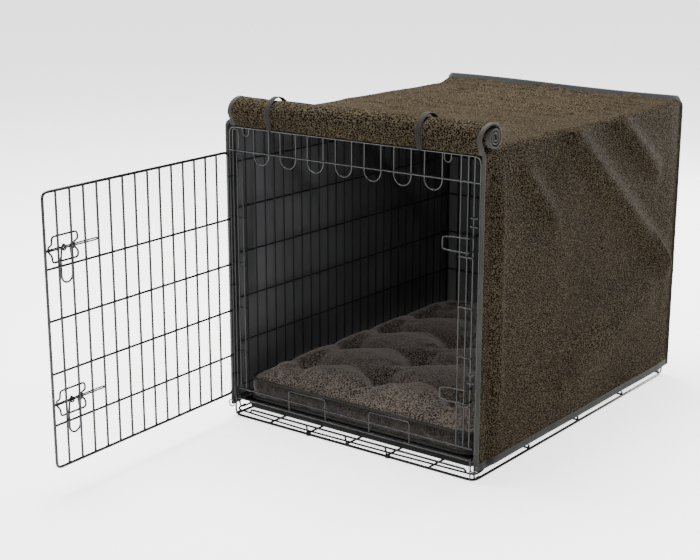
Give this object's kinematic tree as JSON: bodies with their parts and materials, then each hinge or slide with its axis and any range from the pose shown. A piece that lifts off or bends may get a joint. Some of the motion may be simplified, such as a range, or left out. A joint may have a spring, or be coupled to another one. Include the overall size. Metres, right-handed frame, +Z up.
{
  "type": "wire dog crate",
  "caption": "Folding wire dog crate with an open hinged door, slide-bolt latches, a slide-out tray, a tufted mattress and a cloth cover with its front flap rolled up.",
  "frame": {"origin": "on the ground, under the crossing of wires at the centre of the floor grid", "axes": "+Z up, +Y from the doorway to the rear, +X to the right seen from the doorway"},
  "size_m": [0.4768, 1.0053, 0.5162],
  "materials": {
    "coated_steel": "satin black electro-coat",
    "tray_plastic": "moulded matte",
    "cover_fabric": "fine two-tone jacquard weave",
    "mattress_fabric": "short-pile jacquard, tufted",
    "charcoal_binding": "ribbed binding tape"
  },
  "bodies": {
    "crate": {"floor_grid": "coated_steel", "tray_rest_front": "coated_steel", "tray_rest_rear": "coated_steel", "floor_hook_left": "coated_steel", "floor_hook_right": "coated_steel", "side_panel_left": "coated_steel", "side_panel_right": "coated_steel", "rear_panel": "coated_steel", "top_panel": "coated_steel", "front_header": "coated_steel", "front_post_left": "coated_steel", "front_post_right": "coated_steel", "front_threshold": "coated_steel", "latch_strike_upper": "coated_steel", "latch_strike_lower": "coated_steel"},
    "door": {"door_panel": "coated_steel", "hinge_eye_top": "coated_steel", "hinge_eye_middle": "coated_steel", "hinge_eye_bottom": "coated_steel", "latch_keeper_upper": "coated_steel", "latch_keeper_lower": "coated_steel"},
    "upper_bolt": {"latch_bolt_upper": "coated_steel"},
    "upper_finger_loop": {"latch_handle_upper": "coated_steel"},
    "lower_bolt": {"latch_bolt_lower": "coated_steel"},
    "lower_finger_loop": {"latch_handle_lower": "coated_steel"},
    "tray": {"tray": "tray_plastic"},
    "mattress": {"mattress": "mattress_fabric"},
    "cover": {"cover_top": "cover_fabric", "cover_left": "cover_fabric", "cover_right": "cover_fabric", "cover_rear": "cover_fabric", "cover_front_roll": "cover_fabric", "roll_strap_left": "charcoal_binding", "roll_strap_right": "charcoal_binding", "cover_piping_left": "charcoal_binding", "cover_piping_right": "charcoal_binding"}
  },
  "joints": [
    {"name": "door_hinge", "type": "hinge", "parent": "crate", "child": "door", "pos_m": [-0.22, -0.3025, 0.2], "axis": [0, 0, 1], "range_deg": [-28, 87]},
    {"name": "upper_bolt_slide", "type": "slide", "parent": "door", "child": "upper_bolt", "axis": [0.0523, -0.9986, 0], "range_m": [0, 0.018]},
    {"name": "upper_loop_turn", "type": "hinge", "parent": "upper_bolt", "child": "upper_finger_loop", "pos_m": [-0.21171, -0.68609, 0.346], "axis": [-0.0523, 0.9986, 0], "range_deg": [0, 95]},
    {"name": "lower_bolt_slide", "type": "slide", "parent": "door", "child": "lower_bolt", "axis": [0.0523, -0.9986, 0], "range_m": [0, 0.018]},
    {"name": "lower_loop_turn", "type": "hinge", "parent": "lower_bolt", "child": "lower_finger_loop", "pos_m": [-0.21171, -0.68609, 0.129], "axis": [-0.0523, 0.9986, 0], "range_deg": [0, 95]},
    {"name": "tray_slide", "type": "slide", "parent": "crate", "child": "tray", "axis": [0, -1, 0], "range_m": [0, 0.5]},
    {"name": "mattress_lift", "type": "slide", "parent": "crate", "child": "mattress", "axis": [0, 0, 1], "range_m": [0, 0.3]},
    {"name": "cover_lift", "type": "slide", "parent": "crate", "child": "cover", "axis": [0, 0, 1], "range_m": [0, 0.55]}
  ]
}
